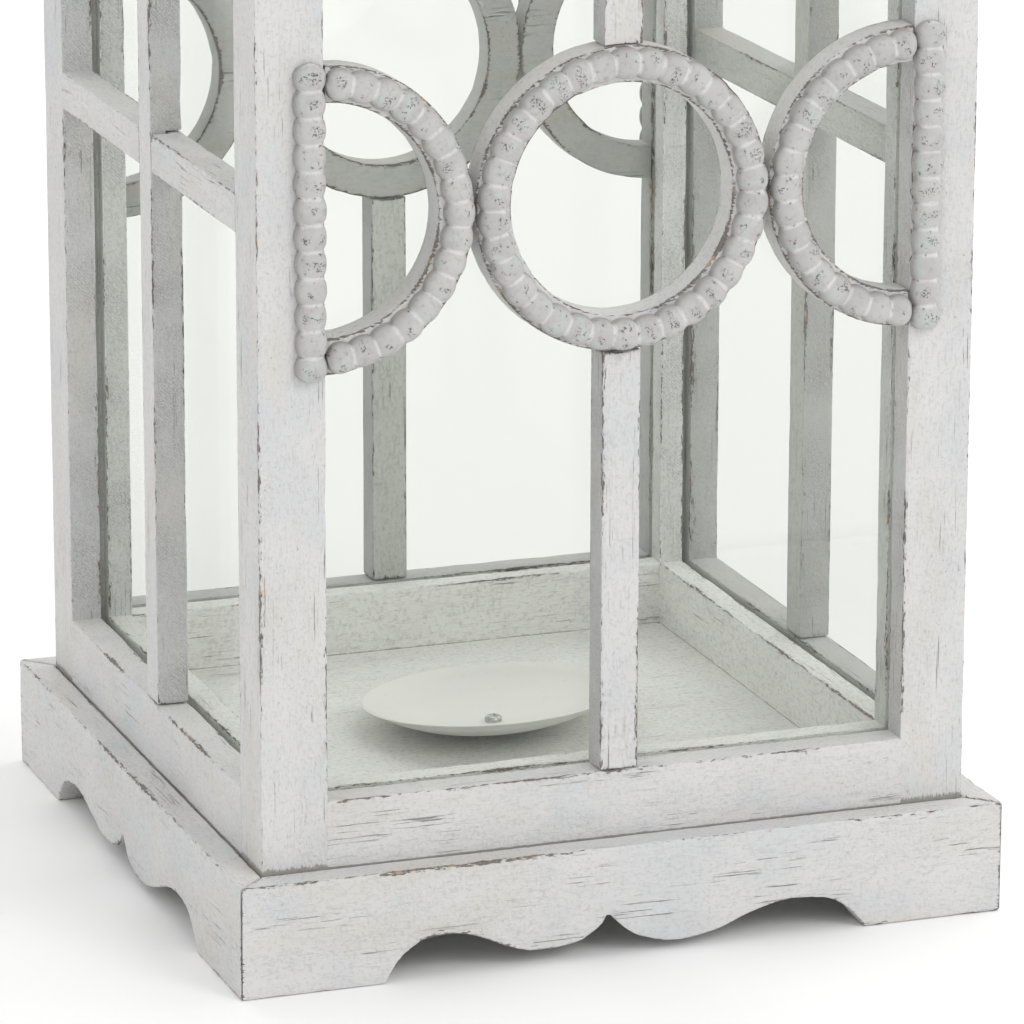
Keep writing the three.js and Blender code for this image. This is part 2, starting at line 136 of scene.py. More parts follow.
# ---- node helpers ----
class Tree:
    """Short words for building one material's nodes."""

    def __init__(self, name):
        self.material = bpy.data.materials.new(name)
        self.material.use_nodes = True
        self.nodes = self.material.node_tree.nodes
        self.links = self.material.node_tree.links
        self.shader = self.nodes["Principled BSDF"]

    def add(self, kind, **settings):
        node = self.nodes.new("ShaderNode" + kind)
        for key, value in settings.items():
            setattr(node, key, value)
        return node

    def plug(self, source, socket):
        if isinstance(source, (int, float)):
            socket.default_value = source
        elif isinstance(source, tuple):
            socket.default_value = (*source, 1)[: len(socket.default_value)]
        else:
            self.links.new(source, socket)

    def maths(self, operation, a, b):
        node = self.add("Math", operation=operation)
        self.plug(a, node.inputs[0])
        self.plug(b, node.inputs[1])
        return node.outputs[0]

    def mix(self, share, a, b):
        node = self.add("Mix", data_type="RGBA")
        self.plug(share, node.inputs["Factor"])
        self.plug(a, node.inputs["A"])
        self.plug(b, node.inputs["B"])
        return node.outputs["Result"]

    def about_zero(self, value, gain):
        """Moves a noise of 0 to 1 to lie about 0, and scales it."""
        return self.maths("MULTIPLY", self.maths("SUBTRACT", value, 0.5), gain)

    def spread(self, value, low, high, to_low=0.0, to_high=1.0):
        """Maps low to high onto to_low to to_high with smooth ends."""
        node = self.add("MapRange", interpolation_type="SMOOTHSTEP")
        for source, name in (
            (value, "Value"), (low, "From Min"), (high, "From Max"),
            (to_low, "To Min"), (to_high, "To Max"),
        ):
            self.plug(source, node.inputs[name])
        return node.outputs["Result"]

    def attribute(self, name):
        return self.add("Attribute", attribute_name=name).outputs["Fac"]

    def place(self):
        """Rest position, moved by the piece's own seed so that no two pieces match."""
        shift = self.add("VectorMath", operation="SCALE")
        shift.inputs[0].default_value = SEED_SHIFT
        self.links.new(self.attribute("seed"), shift.inputs["Scale"])
        total = self.add("VectorMath", operation="ADD")
        self.links.new(self.add("TexCoord").outputs["Object"], total.inputs[0])
        self.links.new(shift.outputs[0], total.inputs[1])
        return total.outputs[0]

    def stretched(self, place, scale):
        node = self.add("VectorMath", operation="MULTIPLY")
        self.links.new(place, node.inputs[0])
        node.inputs[1].default_value = scale
        return node.outputs[0]

    def noise(self, place, scale=1.0, detail=3.0, rough=0.5, warp=0.0):
        node = self.add("TexNoise")
        self.links.new(place, node.inputs["Vector"])
        node.inputs["Scale"].default_value = scale
        node.inputs["Detail"].default_value = detail
        node.inputs["Roughness"].default_value = rough
        node.inputs["Distortion"].default_value = warp
        return node.outputs["Fac"]

    def bump(self, height, depth, strength=1.0, under=None):
        node = self.add("Bump")
        node.inputs["Strength"].default_value = strength
        node.inputs["Distance"].default_value = depth
        self.links.new(height, node.inputs["Height"])
        if under is not None:
            self.links.new(under, node.inputs["Normal"])
        return node.outputs["Normal"]

    def finish(self, colour, roughness, normal=None, metal=0.0):
        self.plug(colour, self.shader.inputs["Base Color"])
        self.plug(roughness, self.shader.inputs["Roughness"])
        if normal is not None:
            self.plug(normal, self.shader.inputs["Normal"])
        self.shader.inputs["Metallic"].default_value = metal
        return self.material


# ---- materials ----
PAINT = (0.665, 0.66, 0.655)
PAINT_COOL = (0.62, 0.625, 0.635)
PAINT_WARM = (0.65, 0.625, 0.59)
PAINT_THIN = (0.47, 0.46, 0.445)
# painted shade for the rebate faces that line the windows
REBATE_SHADE = (0.47, 0.475, 0.49)
SAW_SHADE = (0.27, 0.265, 0.26)
# painted light: a lighter paint for the wood behind the glass, to make up for the shade inside the
# body
INSIDE_PAINTED_LIGHT = (0.84, 0.845, 0.82)
BARE_DARK = (0.075, 0.064, 0.056)
BARE_BROWN = (0.19, 0.14, 0.10)
CHIP = (0.46, 0.27, 0.14)
GRIME = (0.26, 0.24, 0.22)
# painted shade for the glass grooves and the foot joints
GROOVE_SHADE = (0.14, 0.125, 0.08)
BEAD_DARKER = (0.455, 0.448, 0.443)
BEAD_LIGHTER = (0.52, 0.505, 0.495)
BEAD_GREEN = (0.49, 0.515, 0.495)
CREASE_WHITE = (0.67, 0.66, 0.65)
BEAD_RUBBED = (0.37, 0.35, 0.34)
# painted shade on the low sides of each bead
BEAD_SIDE_SHADE = (0.30, 0.285, 0.275)
FLECK = (0.09, 0.085, 0.08)
PIT = (0.11, 0.10, 0.09)
# painted shade in the crevices between beads
BEAD_CREVICE_SHADE = (0.05, 0.045, 0.04)
GLASS_TINT = (0.944, 0.949, 0.938, 1)
GLASS_IOR = 1.45
GLASS_SHEEN = 0.03
MIRROR_SHARE = 0.45
MIRROR_LIMIT = 0.05
ENAMEL_COOL = (0.72, 0.725, 0.705)
ENAMEL_WARM = (0.76, 0.755, 0.725)
ENAMEL_SPECK = (0.40, 0.36, 0.31)
ENAMEL_RIM = (0.74, 0.725, 0.66)
SEED_SHIFT = (3.1, 1.7, 2.3)


def floor_material():
    tree = Tree("studio_floor")
    place = tree.add("TexCoord").outputs["Object"]
    colour = tree.mix(tree.noise(place, 3.0), (0.93, 0.93, 0.93), (0.95, 0.95, 0.95))
    return tree.finish(colour, 0.9)


def along(axis, across, lengthways):
    """Scale of a texture whose grain runs along an axis, 0, 1 or 2."""
    return tuple(lengthways if i == axis else across for i in range(3))


def whitewash(axis):
    """Brushed white paint on wood: thin at the scratches, gone at the worn edges. Painted light
    lightens it behind the glass, and painted shade darkens the window rebates, the glass grooves
    and the feet of the boards.
    """
    tree = Tree("whitewash_" + "xyz"[axis])
    place = tree.place()
    colour = tree.mix(tree.spread(tree.noise(place, 26, 4, 0.6), 0.42, 0.64), PAINT, PAINT_COOL)
    warm = tree.noise(tree.stretched(place, along(axis, 60, 16)), 1, 3)
    colour = tree.mix(tree.spread(warm, 0.50, 0.68, 0, 0.8), colour, PAINT_WARM)
    # painted light: the wood behind the glass is lightened to make up for the shade inside the body
    colour = tree.mix(tree.attribute("inside"), colour, INSIDE_PAINTED_LIGHT)
    grain = tree.noise(tree.stretched(place, along(axis, 1500, 220)), 1, 4, 0.75)
    colour = tree.mix(tree.spread(grain, 0.50, 0.68, 0, 0.5), colour, PAINT_THIN)
    mottle = tree.noise(place, 600, 3, 0.65)
    colour = tree.mix(tree.spread(mottle, 0.50, 0.66, 0, 0.4), colour, PAINT_THIN)

    saw = tree.add("TexWave", wave_type="BANDS", bands_direction="DIAGONAL")
    tree.links.new(place, saw.inputs["Vector"])
    for key, number in (("Scale", 430), ("Distortion", 9), ("Detail", 3), ("Detail Scale", 2.5)):
        saw.inputs[key].default_value = number
    rebate = tree.attribute("rebate")
    # painted shade: the rebate faces that line the windows are darkened
    colour = tree.mix(tree.maths("MULTIPLY", rebate, 0.26), colour, REBATE_SHADE)
    sawn = tree.maths("MULTIPLY", rebate, tree.spread(saw.outputs["Fac"], 0.55, 0.95))
    sawn = tree.maths("MULTIPLY", sawn, tree.spread(tree.noise(place, 60, 3), 0.30, 0.70, 0.3, 1))
    colour = tree.mix(tree.maths("MULTIPLY", sawn, 0.45), colour, SAW_SHADE)

    hair = tree.noise(tree.stretched(place, along(axis, 1500, 34)), 1, 3, 0.6, 0.2)
    clump = tree.noise(tree.stretched(place, along(axis, 95, 24)), 1, 2)
    scratch = tree.maths(
        "MULTIPLY", tree.spread(hair, 0.62, 0.675), tree.spread(clump, 0.51, 0.63)
    )
    closeness = tree.attribute("closeness")
    ragged = tree.noise(tree.stretched(place, along(axis, 1300, 300)), 1, 4, 0.7)
    patch = tree.noise(tree.stretched(place, along(axis, 60, 22)), 1, 2)
    reach = tree.maths("ADD", tree.about_zero(ragged, 1.4), tree.about_zero(patch, 1.0))
    edge = tree.spread(tree.maths("ADD", closeness, reach), 0.90, 0.99)
    chips = tree.spread(tree.noise(place, 130, 2), 0.60, 0.66)
    speck = tree.spread(tree.noise(tree.stretched(place, along(axis, 1100, 500)), 1, 2), 0.72, 0.75)
    # painted shade: a ragged dark line along the glass grooves and where the boards stand on the
    # plinth
    seam_shade = tree.maths("ADD", tree.attribute("groove"), tree.about_zero(ragged, 0.9))
    seam_shade = tree.spread(seam_shade, 0.80, 0.97)

    bare = tree.mix(tree.noise(place, 240, 2), BARE_DARK, BARE_BROWN)
    bare = tree.mix(chips, bare, CHIP)
    colour = tree.mix(tree.maths("MULTIPLY", scratch, 0.62), colour, bare)
    colour = tree.mix(tree.maths("MULTIPLY", speck, 0.6), colour, GRIME)
    colour = tree.mix(tree.maths("MULTIPLY", edge, 0.86), colour, bare)
    colour = tree.mix(tree.maths("MULTIPLY", seam_shade, 0.62), colour, GROOVE_SHADE)

    worn = tree.maths("MAXIMUM", edge, scratch)
    peel = tree.maths("MULTIPLY", mottle, tree.spread(patch, 0.42, 0.62))
    normal = tree.bump(peel, 0.0009, 0.8)
    normal = tree.bump(tree.maths("SUBTRACT", 1.0, sawn), 0.0003, 0.8, normal)
    normal = tree.bump(grain, 0.0003, 0.7, normal)
    normal = tree.bump(tree.maths("SUBTRACT", 1.0, worn), 0.0004, 0.9, normal)
    roughness = tree.spread(grain, 0.3, 0.7, 0.62, 0.82)
    return tree.finish(colour, roughness, normal)


def bead_paint():
    """Greyish wash that is rubbed thin on the bead tops and lies white in the creases, with painted
    shade on the bead sides and in the crevices between them.
    """
    tree = Tree("bead_paint")
    place = tree.place()
    crease = tree.attribute("crease")
    crown = tree.attribute("crown")
    side_shade = tree.attribute("side_shade")
    tone = tree.noise(place, 75, 2)
    top = tree.mix(tree.spread(tone, 0.35, 0.65), BEAD_DARKER, BEAD_LIGHTER)
    green = tree.spread(tree.noise(place, 130, 3), 0.52, 0.62)
    top = tree.mix(green, top, BEAD_GREEN)
    white = tree.maths("ADD", crease, tree.about_zero(tree.noise(place, 260, 2), 0.9))
    colour = tree.mix(tree.spread(white, 0.45, 1.0, 0, 0.9), top, CREASE_WHITE)
    rub = tree.noise(place, 520, 4, 0.65)
    colour = tree.mix(tree.spread(rub, 0.50, 0.66, 0, 0.5), colour, BEAD_RUBBED)
    # painted shade: darker towards the low sides of each bead
    colour = tree.mix(tree.spread(side_shade, 0.15, 0.8, 0, 0.62), colour, BEAD_SIDE_SHADE)

    flecks = tree.spread(tree.noise(place, 1500, 3, 0.6), 0.54, 0.61)
    patch = tree.maths("MULTIPLY", crown, tree.spread(tree.noise(place, 190, 2), 0.40, 0.62))
    flecks = tree.maths("MULTIPLY", flecks, tree.spread(patch, 0.44, 0.62))
    pit = tree.spread(tree.noise(place, 520, 2), 0.70, 0.73)
    ragged = tree.about_zero(tree.noise(place, 330, 3), 1.0)
    # painted shade: near black low down in the crevices between beads
    crevice_dark = tree.spread(tree.maths("ADD", tree.attribute("crevice_shade"), ragged), 0.93, 1.04)
    colour = tree.mix(tree.maths("MULTIPLY", flecks, 0.8), colour, FLECK)
    colour = tree.mix(tree.maths("MULTIPLY", pit, 0.7), colour, PIT)
    colour = tree.mix(tree.maths("MULTIPLY", crevice_dark, 0.92), colour, BEAD_CREVICE_SHADE)
    normal = tree.bump(rub, 0.00022, 0.6)
    holes = tree.maths("MAXIMUM", pit, flecks)
    normal = tree.bump(tree.maths("SUBTRACT", 1.0, holes), 0.0004, 0.8, normal)
    return tree.finish(colour, tree.spread(rub, 0.3, 0.7, 0.6, 0.8), normal)


def clear_glass():
    """A clear pane: light goes straight through, and its faces reflect by angle."""
    tree = Tree("clear_glass")
    through = tree.add("BsdfTransparent")
    through.inputs["Color"].default_value = GLASS_TINT
    gloss = tree.add("BsdfGlossy")
    gloss.inputs["Roughness"].default_value = GLASS_SHEEN
    share = tree.add("Fresnel")
    share.inputs["IOR"].default_value = GLASS_IOR
    both = tree.add("MixShader")
    mirrored = tree.maths("MULTIPLY", share.outputs[0], MIRROR_SHARE)
    mirrored = tree.maths("MINIMUM", mirrored, MIRROR_LIMIT)
    tree.links.new(mirrored, both.inputs[0])
    tree.links.new(through.outputs[0], both.inputs[1])
    tree.links.new(gloss.outputs[0], both.inputs[2])
    tree.links.new(both.outputs[0], tree.nodes["Material Output"].inputs["Surface"])
    tree.nodes.remove(tree.shader)
    return tree.material


def cream_enamel():
    tree = Tree("cream_enamel")
    place = tree.place()
    soft = tree.noise(place, 26, 3)
    colour = tree.mix(tree.spread(soft, 0.35, 0.65), ENAMEL_COOL, ENAMEL_WARM)
    speck = tree.spread(tree.noise(place, 520, 2), 0.66, 0.72)
    colour = tree.mix(tree.maths("MULTIPLY", speck, 0.25), colour, ENAMEL_SPECK)
    rim = tree.spread(tree.attribute("closeness"), 0.55, 1.0, 0, 0.45)
    colour = tree.mix(rim, colour, ENAMEL_RIM)
    normal = tree.bump(tree.noise(place, 900, 2), 0.00006, 0.5)
    return tree.finish(colour, tree.spread(soft, 0.3, 0.7, 0.38, 0.5), normal)


def metal(name, dark, light, roughness, rust=None):
    tree = Tree(name)
    place = tree.place()
    fine = tree.noise(place, 380, 4, 0.6)
    colour = tree.mix(tree.spread(fine, 0.35, 0.65), dark, light)
    if rust is not None:
        spots = tree.spread(tree.noise(place, 150, 4, 0.65), 0.52, 0.62)
        colour = tree.mix(tree.maths("MULTIPLY", spots, 0.7), colour, rust)
    rough = tree.spread(fine, 0.3, 0.7, roughness - 0.08, roughness + 0.12)
    return tree.finish(colour, rough, tree.bump(fine, 0.00012, 0.4), 0.9)


WOOD = [whitewash(axis) for axis in range(3)]
BEADS = bead_paint()
GLASS = clear_glass()
ENAMEL = cream_enamel()
ZINC = metal("bright_zinc", (0.42, 0.42, 0.41), (0.62, 0.62, 0.60), 0.34)
IRON = metal("aged_iron", (0.12, 0.115, 0.11), (0.22, 0.21, 0.20), 0.5, (0.44, 0.42, 0.40))


# ---- mesh helpers ----
GOLDEN = 0.618034
WEAR_REACH = 4 * MM
WEAR_STEP = 1.5 * MM
NEAR_CUT = 1.3 * MM
LATTICE_STEP = 9 * MM
WELD = 2e-6
FLAT_ANGLE = math.radians(0.6)
SHARP_ANGLE = math.radians(28)
WAVE_SCALE = 22
WAVE_DEPTH = 0.16 * MM
WAVE_SINK = 0.1 * MM
DENT_SCALE = 140
DENT_START = 0.25
DENT_DEPTH = 1.1 * MM
TUCK = 0.9 * MM
GROOVE_REACH = 1.1 * MM
# strength of the painted shade at the foot of a board on the plinth
FOOT_SHADE = 1.45
PANES = [[np.array(corner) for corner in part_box("glass_" + side)] for side in SIDES]
PANE_INNER = PANES[SIDES.index("right")][0][0]
PLINTH_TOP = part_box("plinth_front")[1].z
TOP_RAIL_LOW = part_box("top_rail_front")[0].z
TOP_RAIL_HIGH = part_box("top_rail_front")[1].z
RAILS = [
    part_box(name) for name in nodes
    if name.startswith(("bottom_rail_", "top_rail_", "cross_rail_"))
]
seeds = {}


def seed_of(name):
    """A steady number from 0 to 10 for each piece."""
    if name not in seeds:
        seeds[name] = (len(seeds) * GOLDEN) % 1 * 10
    return seeds[name]


def add_values(mesh, name, values):
    layer = mesh.attributes.new(name, "FLOAT", "POINT")
    layer.data.foreach_set("value", np.asarray(values, np.float32))


def make_piece(name, mesh, material, node, smooth_angle):
    """Turns a mesh into a piece that rides on the body of the CAD node it stands for."""
    add_values(mesh, "seed", np.full(len(mesh.vertices), seed_of(name)))
    mesh.materials.append(material)
    piece = bpy.data.objects.new(name, mesh)
    bpy.context.scene.collection.objects.link(piece)
    mesh.shade_smooth()
    mesh.set_sharp_from_angle(angle=math.radians(smooth_angle))
    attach(piece, body_of[node])
    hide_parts(node)
    return piece


def sample_edges(edges, step):
    points = []
    for edge in edges:
        a, b = (v.co.copy() for v in edge.verts)
        count = max(1, int((b - a).length / step))
        points += [a.lerp(b, i / count) for i in range(count + 1)]
    return points


def cut_lattice(mesh, axis, low, high, offsets):
    for offset in offsets:
        if not low + 0.2 * MM < offset < high - 0.2 * MM:
            continue
        normal = Vector((0, 0, 0))
        normal[axis] = 1
        parts = mesh.verts[:] + mesh.edges[:] + mesh.faces[:]
        bmesh.ops.bisect_plane(mesh, geom=parts, plane_co=normal * offset, plane_no=normal)


def lattice_offsets(low, high, step):
    """Cuts close to both ends, where the wear fades, and evenly between them."""
    near = (NEAR_CUT, WEAR_REACH)
    inner_low, inner_high = low + near[1], high - near[1]
    offsets = [low + n for n in near] + [high - n for n in near]
    count = max(1, round((inner_high - inner_low) / step))
    offsets += [inner_low + (inner_high - inner_low) * i / count for i in range(1, count)]
    return offsets


def roughen(point, normal, closeness, seed):
    """Hand-made unevenness: long soft waves, and dents where an edge was knocked."""
    wave = noise.noise(point * WAVE_SCALE + Vector((seed, 0, 0))) * WAVE_DEPTH
    dent = max(0.0, noise.noise(point * DENT_SCALE + Vector((0, seed, 0))) - DENT_START)
    return point + normal * (wave - WAVE_SINK - dent * closeness**2 * DENT_DEPTH)


def groove_shares(points):
    """For each point, 1 at a pane of glass and 0 a little way off it."""
    best = np.full(len(points), GROOVE_REACH)
    for low, high in PANES:
        gaps = np.maximum(np.maximum(low - points, points - high), 0)
        best = np.minimum(best, np.linalg.norm(gaps, axis=1))
    return 1 - best / GROOVE_REACH


def side_axes(points):
    """0 for each point nearer to a left or right side, and 1 nearer to the front or back."""
    return (np.abs(points[:, 0]) <= np.abs(points[:, 1])).astype(int)


def squarely(shares):
    """1 where a face looks nearly straight along an axis, and 0 where it leans away."""
    return np.clip((shares - 0.75) / 0.2, 0, 1)


def inside_light_shares(points, normals):
    """1 where the wood is lightened as painted light, behind the glass and on the faces that look
    in through it, and 0 elsewhere."""
    rows = np.arange(len(points))
    axes = side_axes(points)
    out = np.abs(points[:, :2]).max(axis=1)
    behind = np.clip((PANE_INNER + MM - out) / MM, 0, 1)
    inward = -normals[rows, axes] * np.sign(points[rows, axes])
    return np.maximum(behind, squarely(inward)) * (points[:, 2] < TOP_RAIL_LOW)


def rebate_shares(points, normals):
    """1 on the sawn faces that line the windows, which look along their own side."""
    sideways = np.abs(normals[np.arange(len(points)), 1 - side_axes(points)])
    height = points[:, 2]
    return squarely(sideways) * ((height > PLINTH_TOP) & (height < TOP_RAIL_HIGH))


def meets_rail(point):
    """True on an edge that a rail is glued against, where the paint fills the joint."""
    near = 0.6 * MM
    return any(
        all(low[i] - near < point[i] < high[i] + near for i in range(3)) for low, high in RAILS
    )


def tuck_in(mesh, low, high, joints):
    """Pushes the end faces named by (axis, side) into the neighbours they are glued to,
    and gives back the vertices of each."""
    faces = []
    for axis, side in joints:
        limit = (low if side < 0 else high)[axis]
        face = {v for v in mesh.verts if abs(v.co[axis] - limit) < 0.05 * MM}
        faces.append(face)
        for vert in face:
            vert.co[axis] += side * TUCK
    return faces


def welded_mesh(node):
    """A node's solid as one skin, with no edges across its flat faces."""
    mesh = bmesh.new()
    mesh.from_mesh(nodes[node].data)
    bmesh.ops.remove_doubles(mesh, verts=mesh.verts, dist=WELD)
    bmesh.ops.dissolve_limit(
        mesh, angle_limit=FLAT_ANGLE, verts=mesh.verts, edges=mesh.edges
    )
    return mesh


def wood_piece(
    node, grain, step=LATTICE_STEP, bevel=0.8 * MM, uneven=True, joints=(), glazed=False
):
    """A CAD board with its edges rounded, cut fine enough to carry wear and dents.
    It stays unworn at its glued joints."""
    mesh = welded_mesh(node)
    bmesh.ops.recalc_face_normals(mesh, faces=mesh.faces)
    low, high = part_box(node)
    glued = tuck_in(mesh, low, high, joints)
    sharp = [
        e for e in mesh.edges
        if e.is_manifold and e.is_convex and e.calc_face_angle(0) > SHARP_ANGLE
        and not any(face.issuperset(e.verts) for face in glued)
    ]
    points = sample_edges(sharp, WEAR_STEP)
    if node.startswith("post_"):
        points = [p for p in points if not meets_rail(p)]
    bmesh.ops.bevel(
        mesh, geom=sharp, offset=bevel, segments=2, profile=0.6, affect="EDGES",
        clamp_overlap=True,
    )
    for axis in range(3):
        spacing = step if axis == grain else LATTICE_STEP
        offsets = lattice_offsets(low[axis], high[axis], spacing)
        cut_lattice(mesh, axis, low[axis], high[axis], offsets)
    mesh.normal_update()
    tree = kdtree.KDTree(len(points))
    for i, point in enumerate(points):
        tree.insert(point, i)
    tree.balance()
    seed = seed_of(node + "_wood")
    closeness = [max(0.0, 1 - tree.find(v.co)[2] / WEAR_REACH) for v in mesh.verts]
    places = np.array([v.co for v in mesh.verts])
    normals = np.array([v.normal for v in mesh.verts])
    groove = groove_shares(places) if glazed else np.zeros(len(places))
    # painted shade along the foot, where the board stands on the plinth
    if (2, -1) in joints:
        above = (places[:, 2] - PLINTH_TOP) / NEAR_CUT
        groove = np.maximum(groove, FOOT_SHADE * np.clip(1 - above, 0, 1))
    if uneven:
        moved = [roughen(v.co, v.normal, c, seed) for v, c in zip(mesh.verts, closeness)]
        for vert, place in zip(mesh.verts, moved):
            vert.co = place
    data = bpy.data.meshes.new(node + "_wood")
    mesh.to_mesh(data)
    mesh.free()
    add_values(data, "closeness", closeness)
    add_values(data, "groove", groove)
    add_values(data, "inside", inside_light_shares(places, normals))
    add_values(data, "rebate", rebate_shares(places, normals))
    make_piece(node + "_wood", data, WOOD[grain], node, 35)


def swept_mesh(name, rows, closed, values):
    """A skin over rows of points that each close on themselves. values maps an
    attribute name to one number for each point."""
    data = bpy.data.meshes.new(name)
    across = len(rows[0])
    count = len(rows)
    verts = [p for row in rows for p in row]
    faces = []
    for i in range(count if closed else count - 1):
        for j in range(across):
            a, b = i * across, (i + 1) % count * across
            k = (j + 1) % across
            faces.append((a + j, a + k, b + k, b + j))
    if not closed:
        faces.append(tuple(reversed(range(across))))
        faces.append(tuple((count - 1) * across + j for j in range(across)))
    data.from_pydata(verts, [], faces)
    mesh = bmesh.new()
    mesh.from_mesh(data)
    bmesh.ops.recalc_face_normals(mesh, faces=mesh.faces)
    mesh.to_mesh(data)
    mesh.free()
    for key, numbers in values.items():
        add_values(data, key, numbers)
    return data


# ---- ring plates ----
RING_Z = (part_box("ring_front")[0].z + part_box("ring_front")[1].z) / 2
RING_OUTER = (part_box("ring_front")[1].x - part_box("ring_front")[0].x) / 2
RING_INNER = 41.6 * MM
RING_STEP = math.radians(2.5)
RING_ROUND = 0.8 * MM
RING_WAVE_SCALE = 45
RING_WAVE = 0.35 * MM
RING_CHIP_SCALE = 170
RING_CHIP_START = 0.2
RING_CHIP = 0.9 * MM
HALF_RING_GAP = 0.3 * MM
POST_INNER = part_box("post_front_right")[0].x
FACE = -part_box("post_front_left")[0].y


def ring_section(low, high, front, back):
    """Rounded rectangle of (radius, depth) pairs with the closeness of each."""
    soft = 0.3 * RING_ROUND
    section = []
    corners = [(low, front), (high, front), (high, back), (low, back)]
    for i, corner in enumerate(corners):
        before, after = Vector(corners[i - 1]), Vector(corners[(i + 1) % 4])
        here = Vector(corner)
        arrive, leave = (before - here).normalized(), (after - here).normalized()
        for along_edge, value in ((arrive * WEAR_REACH, 0.0), (arrive * RING_ROUND, 0.85)):
            section.append((here + along_edge, value))
        section.append((here + (arrive + leave) * soft, 1.0))
        for along_edge, value in ((leave * RING_ROUND, 0.85), (leave * WEAR_REACH, 0.0)):
            section.append((here + along_edge, value))
    return section


def ring_plate(node, side, centre_x, start, end):
    """Sawn ring, or part of one from a start angle to an end angle, as a wood piece."""
    name = node + "_wood"
    seed = seed_of(name)
    whole = end - start > 2 * math.pi - 0.01
    steps = round((end - start) / RING_STEP)
    sign = -1 if side == "front" else 1
    depths = [abs(v.y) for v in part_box(node)]
    section = ring_section(RING_INNER, RING_OUTER, max(depths), min(depths))
    rows, closeness = [], []
    for i in range(steps if whole else steps + 1):
        angle = start + (end - start) * i / steps
        out = Vector((math.cos(angle), 0, math.sin(angle)))
        row = []
        for (radius, depth), value in section:
            point = Vector((centre_x, sign * depth, RING_Z)) + out * radius
            wave = noise.noise(point * RING_WAVE_SCALE + Vector((seed, 0, 0)))
            chip = max(0.0, noise.noise(point * RING_CHIP_SCALE) - RING_CHIP_START)
            chip *= RING_CHIP * value
            inward = 1 if radius < (RING_INNER + RING_OUTER) / 2 else -1
            point += out * (wave * RING_WAVE * value + chip) * inward
            row.append(point - Vector((0, sign * chip, 0)))
            closeness.append(value)
        rows.append(row)
    mesh = swept_mesh(name, rows, whole, {"closeness": closeness})
    make_piece(name, mesh, WOOD[0], node, 40)


# ---- beads ----
BEAD_RADIUS = 48.6 * MM
BEAD_HALF = 5.7 * MM
BEAD_PROUD = 5.5 * MM
BEAD_LIFT = 0.3 * MM
RING_BEADS = 34
COLUMN_BEADS = 12
STEPS_PER_BEAD = 12
SECTION_STEPS = 14
NECK = 0.74
END_NECK = 0.12
SWELL_POWER = 2.3
SIZE_SPREAD = 0.05
LEAN = 0.25 * MM
SIDE_POWER = 0.86
RISE_POWER = 0.80
NECK_RISE = 0.35
CREASE_START = 0.55
BEAD_BUMP_SCALE = 330
BEAD_BUMP = 0.14 * MM


def bead_swell(phase, first, last):
    """Share of the full size at a phase from -1 to 1 along one bead."""
    open_end = (first and phase < 0) or (last and phase > 0)
    least = END_NECK if open_end else NECK
    return math.sqrt(max(0.0, 1 - abs(phase) ** SWELL_POWER * (1 - least**2)))


def bead_rows(count, closed, frame_at, seed):
    """Rows of a chain of beads. frame_at(u) gives the middle of the chain at u beads
    along it, and the direction across it; the chain stands proud towards +out."""
    rows, crease, crevice_shade, crown, side_shade = [], [], [], [], []
    total = count * STEPS_PER_BEAD
    for i in range(total if closed else total + 1):
        u = i / STEPS_PER_BEAD
        index = min(int(u), count - 1)
        phase = 2 * (u - index) - 1
        swell = bead_swell(phase, not closed and index == 0, not closed and index == count - 1)
        size = 1 + SIZE_SPREAD * noise.noise(Vector((index * 3.7, seed, 0.5)))
        lean = LEAN * noise.noise(Vector((index * 2.3, seed, 7.5)))
        middle, across, out = frame_at(u)
        row = []
        for j in range(SECTION_STEPS + 1):
            angle = math.pi * j / SECTION_STEPS
            x, y = math.cos(angle), math.sin(angle)
            side = math.copysign(abs(x) ** SIDE_POWER, x) * BEAD_HALF * swell * size + lean
            full = NECK_RISE + (1 - NECK_RISE) * swell
            rise = abs(y) ** RISE_POWER * BEAD_PROUD * full * size
            point = middle + across * side + out * (BEAD_LIFT + rise)
            bump = noise.noise(point * BEAD_BUMP_SCALE + Vector((0, seed, 0))) * BEAD_BUMP
            row.append(point + out * min(0.0, bump) * y)
            gap = max(0.0, (abs(phase) - CREASE_START) / (1 - CREASE_START))
            crease.append(gap)
            # painted shade share, high low down in the crevices and 0 on the bead
            crevice_shade.append(gap * (1 - y) ** 0.7 * 0.95)
            crown.append((1 - abs(phase)) * y)
            # painted shade share, 1 at the foot of the bead's sides and 0 on its top
            side_shade.append((1 - y) ** 1.3)
        for share in (-0.5, 0.5):
            row.append(middle + across * share * BEAD_HALF * swell + out * BEAD_LIFT)
            for values in (crease, crevice_shade, crown, side_shade):
                values.append(0)
        rows.append(row)
    return rows, {"crease": crease, "crevice_shade": crevice_shade, "crown": crown, "side_shade": side_shade}


def bead_chain(name, count, closed, frame_at):
    rows, values = bead_rows(count, closed, frame_at, seed_of(name))
    return swept_mesh(name, rows, closed, values)


def arc_frame(centre_x, sign, start, beads, sweep):
    def at(u):
        angle = start + sweep * u / beads
        across = Vector((math.cos(angle), 0, math.sin(angle)))
        middle = Vector((centre_x, sign * FACE, RING_Z)) + across * BEAD_RADIUS
        return middle, across, Vector((0, sign, 0))

    return at


def column_frame(x, sign, low, high):
    def at(u):
        middle = Vector((x, sign * FACE, low + (high - low) * u / COLUMN_BEADS))
        return middle, Vector((1, 0, 0)), Vector((0, sign, 0))

    return at


def join_meshes(name, parts):
    """One mesh from several, with their attributes kept."""
    joined = bmesh.new()
    for part in parts:
        joined.from_mesh(part)
        bpy.data.meshes.remove(part)
    data = bpy.data.meshes.new(name)
    joined.to_mesh(data)
    joined.free()
    return data


